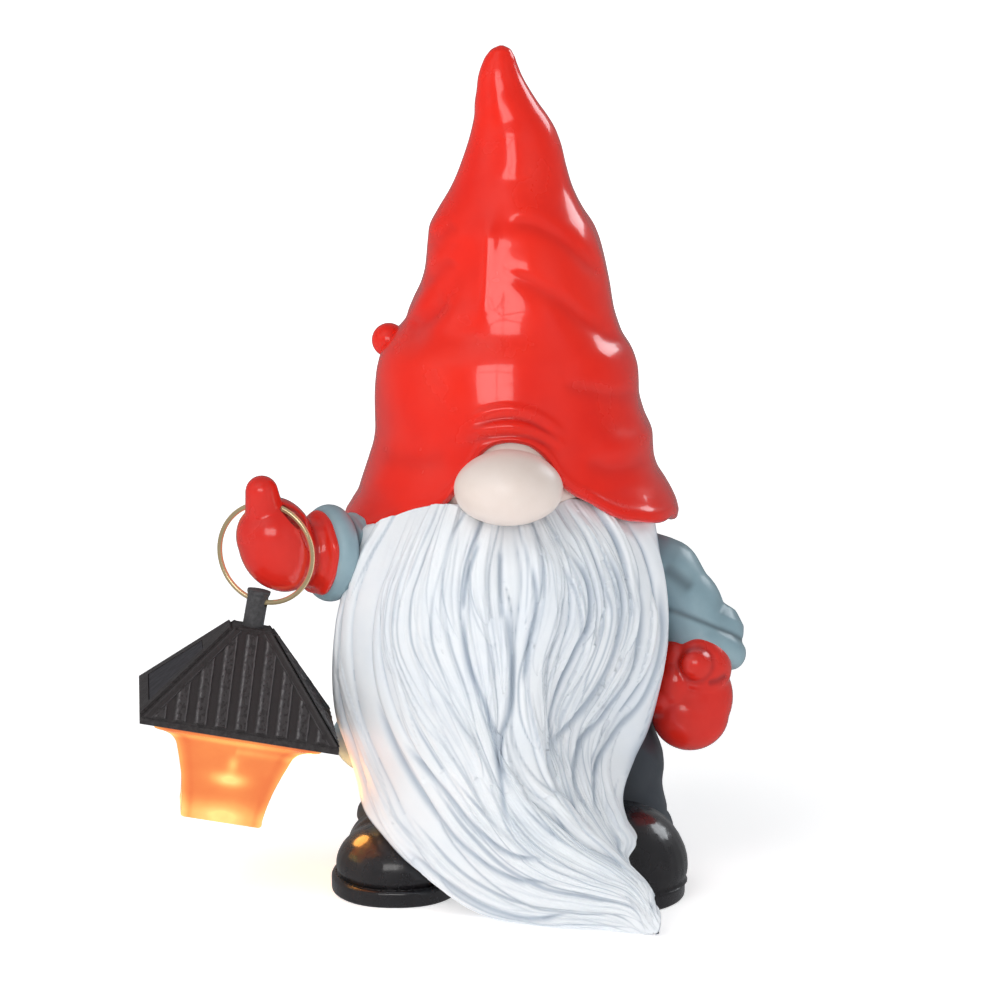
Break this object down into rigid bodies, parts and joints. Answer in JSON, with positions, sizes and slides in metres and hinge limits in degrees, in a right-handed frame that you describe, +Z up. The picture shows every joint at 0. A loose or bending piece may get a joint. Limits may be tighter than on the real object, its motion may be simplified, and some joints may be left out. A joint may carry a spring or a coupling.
{
  "type": "garden gnome",
  "caption": "Standing bearded garden gnome in a tall pointed hat, holding up a wire ring from which a small square-roofed solar lantern hangs.",
  "frame": {"origin": "centre of the whole object's footprint box, on the ground", "axes": "+Z up, the gnome faces -Y, its raised mitten and the lantern are on -X"},
  "size_m": [0.1828, 0.122, 0.25],
  "materials": {
    "hat_paint": "glossy red paint over cast resin",
    "skin_paint": "satin beige-pink paint over cast resin",
    "beard_paint": "satin white paint over cast resin",
    "coat_paint": "satin blue-grey paint over cast resin",
    "trouser_paint": "satin dark grey paint over cast resin",
    "boot_paint": "glossy black paint over cast resin",
    "mitten_paint": "glossy red paint over cast resin",
    "ring_wire": "bright drawn wire",
    "lantern_black": "rough moulded black",
    "solar_cell": "dark silicon under resin",
    "clear_cover": "clear",
    "amber_lens": "translucent amber",
    "led_lens": "clear, lit",
    "white_plastic": "satin",
    "board": "solder resist",
    "component_black": "matt",
    "cell_wrap": "shrink wrap",
    "bright_steel": "bright",
    "lead_insulation": "satin"
  },
  "bodies": {
    "figure": {"hat": "hat_paint", "head": "skin_paint", "nose": "skin_paint", "beard": "beard_paint", "coat": "coat_paint", "trousers": "trouser_paint", "boot_left": "boot_paint", "boot_right": "boot_paint", "sleeve_raised": "coat_paint", "mitten_raised": "mitten_paint", "sleeve_lowered": "coat_paint", "mitten_lowered": "mitten_paint"},
    "ring": {"hanging_ring": "ring_wire"},
    "lantern": {"hanger_post": "lantern_black", "lantern_roof": "lantern_black", "solar_cell": "solar_cell", "cell_cover": "clear_cover", "chassis_plate": "lantern_black", "led": "led_lens", "led_holder": "white_plastic", "circuit_board": "board", "driver_chip": "component_black", "choke": "component_black", "battery": "cell_wrap", "contact_spring": "bright_steel", "contact_plate": "bright_steel", "switch_body": "bright_steel", "chassis_screws": "bright_steel", "solar_leads": "lead_insulation", "battery_leads": "component_black"},
    "lens": {"lens": "amber_lens"},
    "slider": {"switch_slider": "component_black"}
  },
  "joints": [
    {"name": "ring_swing", "type": "hinge", "parent": "figure", "child": "ring", "pos_m": [-0.04784, -0.02107, 0.11727], "axis": [-0.9106, 0.3314, 0.247], "range_deg": [0, 35]},
    {"name": "lantern_swing", "type": "hinge", "parent": "ring", "child": "lantern", "pos_m": [-0.05365, -0.01896, 0.0901], "axis": [-0.9208, 0.3352, 0.1994], "range_deg": [-2, 40]},
    {"name": "lens_pull", "type": "slide", "parent": "lantern", "child": "lens", "axis": [-0.18, -0.0785, -0.9805], "range_m": [0, 0.018]},
    {"name": "switch_slide", "type": "slide", "parent": "lantern", "child": "slider", "axis": [0.9786, 0.0869, -0.1866], "range_m": [0, 0.002]}
  ]
}
